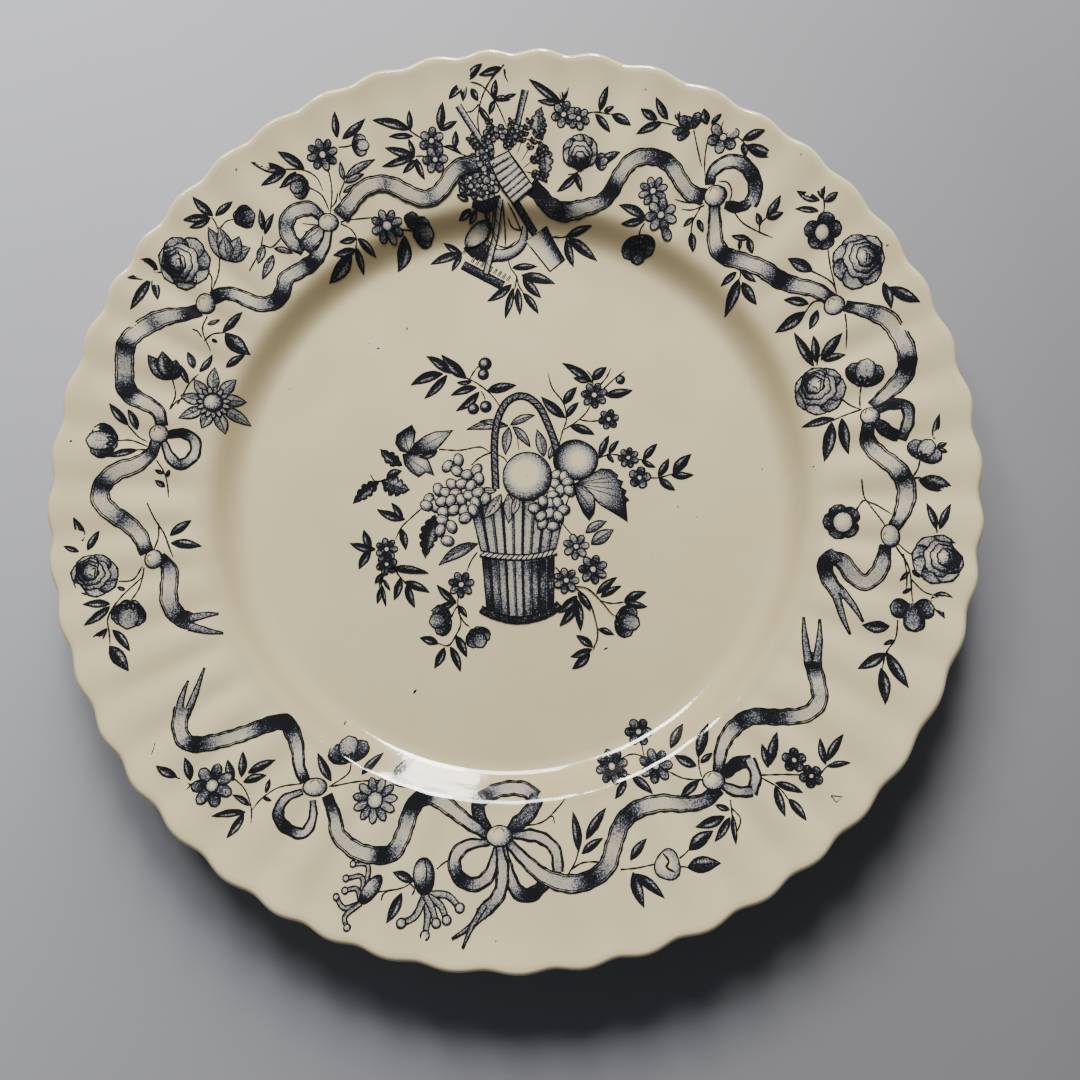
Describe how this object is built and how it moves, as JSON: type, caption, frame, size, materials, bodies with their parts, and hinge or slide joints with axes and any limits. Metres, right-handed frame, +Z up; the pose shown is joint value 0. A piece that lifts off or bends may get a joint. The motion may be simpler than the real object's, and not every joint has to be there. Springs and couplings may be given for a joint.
{
  "type": "dinner plate",
  "caption": "Round earthenware dinner plate with a flat well, a cove, a fluted and scalloped rim, a foot ring and a blue-black floral transfer print under a cream glaze.",
  "frame": {"origin": "on the plate's axis, level with the face that the foot ring rests on", "axes": "+Z up along the plate's axis; +Y towards the trophy at the top of the print; +X to the right of the basket"},
  "size_m": [0.2612, 0.2612, 0.0261],
  "materials": {
    "biscuit": "matt",
    "glaze": "gloss",
    "underglaze_print": "gloss"
  },
  "bodies": {
    "root": {"earthenware_body": "biscuit", "glaze_face_and_back": "glaze", "glaze_foot_recess": "glaze"}
  },
  "joints": []
}
